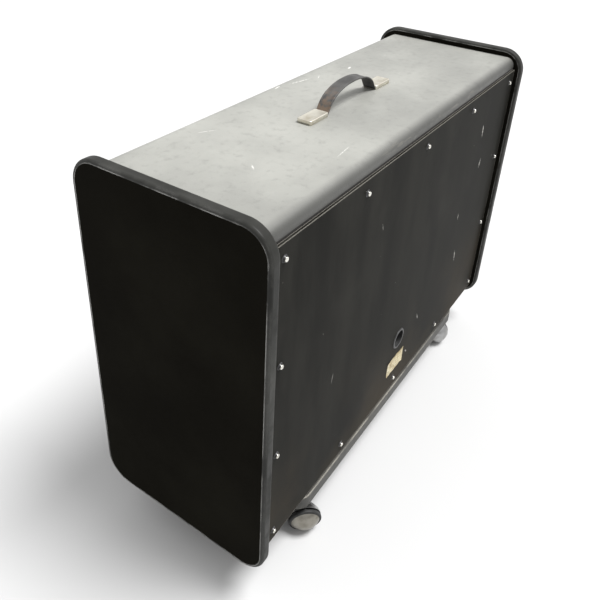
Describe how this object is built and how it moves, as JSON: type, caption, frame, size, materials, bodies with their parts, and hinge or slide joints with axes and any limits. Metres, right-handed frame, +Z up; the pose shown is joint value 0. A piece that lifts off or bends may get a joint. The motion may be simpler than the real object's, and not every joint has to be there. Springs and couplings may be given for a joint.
{
  "type": "pa speaker cabinet",
  "caption": "Low stage loudspeaker cabinet with rounded end cheeks, screwed back panel, recessed jack, top strap handle, cloth grille and ball casters.",
  "frame": {"origin": "floor level under the middle of the cabinet", "axes": "+X along the length, +Y out of the back panel, +Z up"},
  "size_m": [0.89, 0.3384, 0.706],
  "materials": {
    "covered_board": "plywood covered in black grained vinyl",
    "edge_moulding": "worn satin black plastic moulding",
    "bare_wood": "unfinished softwood",
    "black_wood": "painted matte black",
    "grille_cloth": "coarse woven speaker cloth",
    "panel_board": "hardboard painted dark grey, scuffed",
    "nickel": "bright nickel plate",
    "steel": "zinc-plated steel",
    "dish_plastic": "moulded black plastic",
    "label_paper": "yellowed and worn, blank",
    "strap_rubber": "moulded strap with ribbed edges",
    "wire_cover": "insulated wire",
    "basket_paint": "black stove enamel",
    "magnet_iron": "ferrite and blackened steel",
    "coil_metal": "wound former",
    "spider_cloth": "doped corrugated cloth",
    "cone_paper": "pressed paper pulp",
    "surround_rubber": "soft half-roll",
    "hood_metal": "plated steel, dulled",
    "dome_metal": "satin silver",
    "tyre": "black rubber"
  },
  "bodies": {
    "cabinet": {"right_cheek": "covered_board", "left_cheek": "covered_board", "top_board": "covered_board", "bottom_board": "covered_board", "rear_caster_rail": "covered_board", "front_caster_rail": "covered_board", "right_edge_band": "edge_moulding", "left_edge_band": "edge_moulding", "rear_cleat_top": "bare_wood", "rear_cleat_bottom": "bare_wood", "rear_cleat_sides": "bare_wood", "baffle_cleats": "bare_wood", "baffle_stiffener": "bare_wood", "baffle_board": "black_wood", "grille_frame": "black_wood", "grille_cloth": "grille_cloth", "back_panel": "panel_board", "panel_screws": "nickel", "panel_washers": "nickel", "jack_nut": "nickel", "handle_caps": "nickel", "handle_brackets": "steel", "handle_screws": "steel", "rail_screws": "steel", "driver_screws": "steel", "caster_sockets": "steel", "jack_socket": "steel", "jack_dish": "dish_plastic", "input_label": "label_paper", "handle_strap": "strap_rubber", "speaker_wires": "wire_cover", "right_basket": "basket_paint", "right_magnet": "magnet_iron", "right_spider": "spider_cloth", "right_surround": "surround_rubber", "left_basket": "basket_paint", "left_magnet": "magnet_iron", "left_spider": "spider_cloth", "left_surround": "surround_rubber"},
    "right_moving_cone": {"right_cone": "cone_paper", "right_voice_coil": "coil_metal"},
    "left_moving_cone": {"left_cone": "cone_paper", "left_voice_coil": "coil_metal"},
    "rear_right_swivel": {"rear_right_caster_hood": "hood_metal", "rear_right_caster_axle": "steel"},
    "rear_right_wheel": {"rear_right_caster_wheel": "dome_metal", "rear_right_caster_tyre": "tyre"},
    "rear_left_swivel": {"rear_left_caster_hood": "hood_metal", "rear_left_caster_axle": "steel"},
    "rear_left_wheel": {"rear_left_caster_wheel": "dome_metal", "rear_left_caster_tyre": "tyre"},
    "front_left_swivel": {"front_left_caster_hood": "hood_metal", "front_left_caster_axle": "steel"},
    "front_left_wheel": {"front_left_caster_wheel": "dome_metal", "front_left_caster_tyre": "tyre"},
    "front_right_swivel": {"front_right_caster_hood": "hood_metal", "front_right_caster_axle": "steel"},
    "front_right_wheel": {"front_right_caster_wheel": "dome_metal", "front_right_caster_tyre": "tyre"}
  },
  "joints": [
    {"name": "right_cone_travel", "type": "slide", "parent": "cabinet", "child": "right_moving_cone", "axis": [0, -1, 0], "range_m": [-0.004, 0.004], "stiffness_N_per_m": 3000},
    {"name": "left_cone_travel", "type": "slide", "parent": "cabinet", "child": "left_moving_cone", "axis": [0, -1, 0], "range_m": [-0.004, 0.004], "stiffness_N_per_m": 3000},
    {"name": "rear_right_caster_swivel", "type": "hinge", "parent": "cabinet", "child": "rear_right_swivel", "pos_m": [0.291, 0.1345, 0.069], "axis": [0, 0, 1], "continuous": true},
    {"name": "rear_right_wheel_spin", "type": "hinge", "parent": "rear_right_swivel", "child": "rear_right_wheel", "pos_m": [0.29829, 0.1471, 0.02839], "axis": [0.7123, 0.6879, -0.1392], "continuous": true},
    {"name": "rear_left_caster_swivel", "type": "hinge", "parent": "cabinet", "child": "rear_left_swivel", "pos_m": [-0.291, 0.1345, 0.069], "axis": [0, 0, 1], "continuous": true},
    {"name": "rear_left_wheel_spin", "type": "hinge", "parent": "rear_left_swivel", "child": "rear_left_wheel", "pos_m": [-0.30294, 0.12616, 0.02839], "axis": [-0.9363, -0.3224, -0.1392], "continuous": true},
    {"name": "front_left_caster_swivel", "type": "hinge", "parent": "cabinet", "child": "front_left_swivel", "pos_m": [-0.291, -0.1345, 0.069], "axis": [0, 0, 1], "continuous": true},
    {"name": "front_left_wheel_spin", "type": "hinge", "parent": "front_left_swivel", "child": "front_left_wheel", "pos_m": [-0.29829, -0.1471, 0.02839], "axis": [-0.7123, -0.6879, -0.1392], "continuous": true},
    {"name": "front_right_caster_swivel", "type": "hinge", "parent": "cabinet", "child": "front_right_swivel", "pos_m": [0.291, -0.1345, 0.069], "axis": [0, 0, 1], "continuous": true},
    {"name": "front_right_wheel_spin", "type": "hinge", "parent": "front_right_swivel", "child": "front_right_wheel", "pos_m": [0.30294, -0.12616, 0.02839], "axis": [0.9363, 0.3224, -0.1392], "continuous": true}
  ]
}
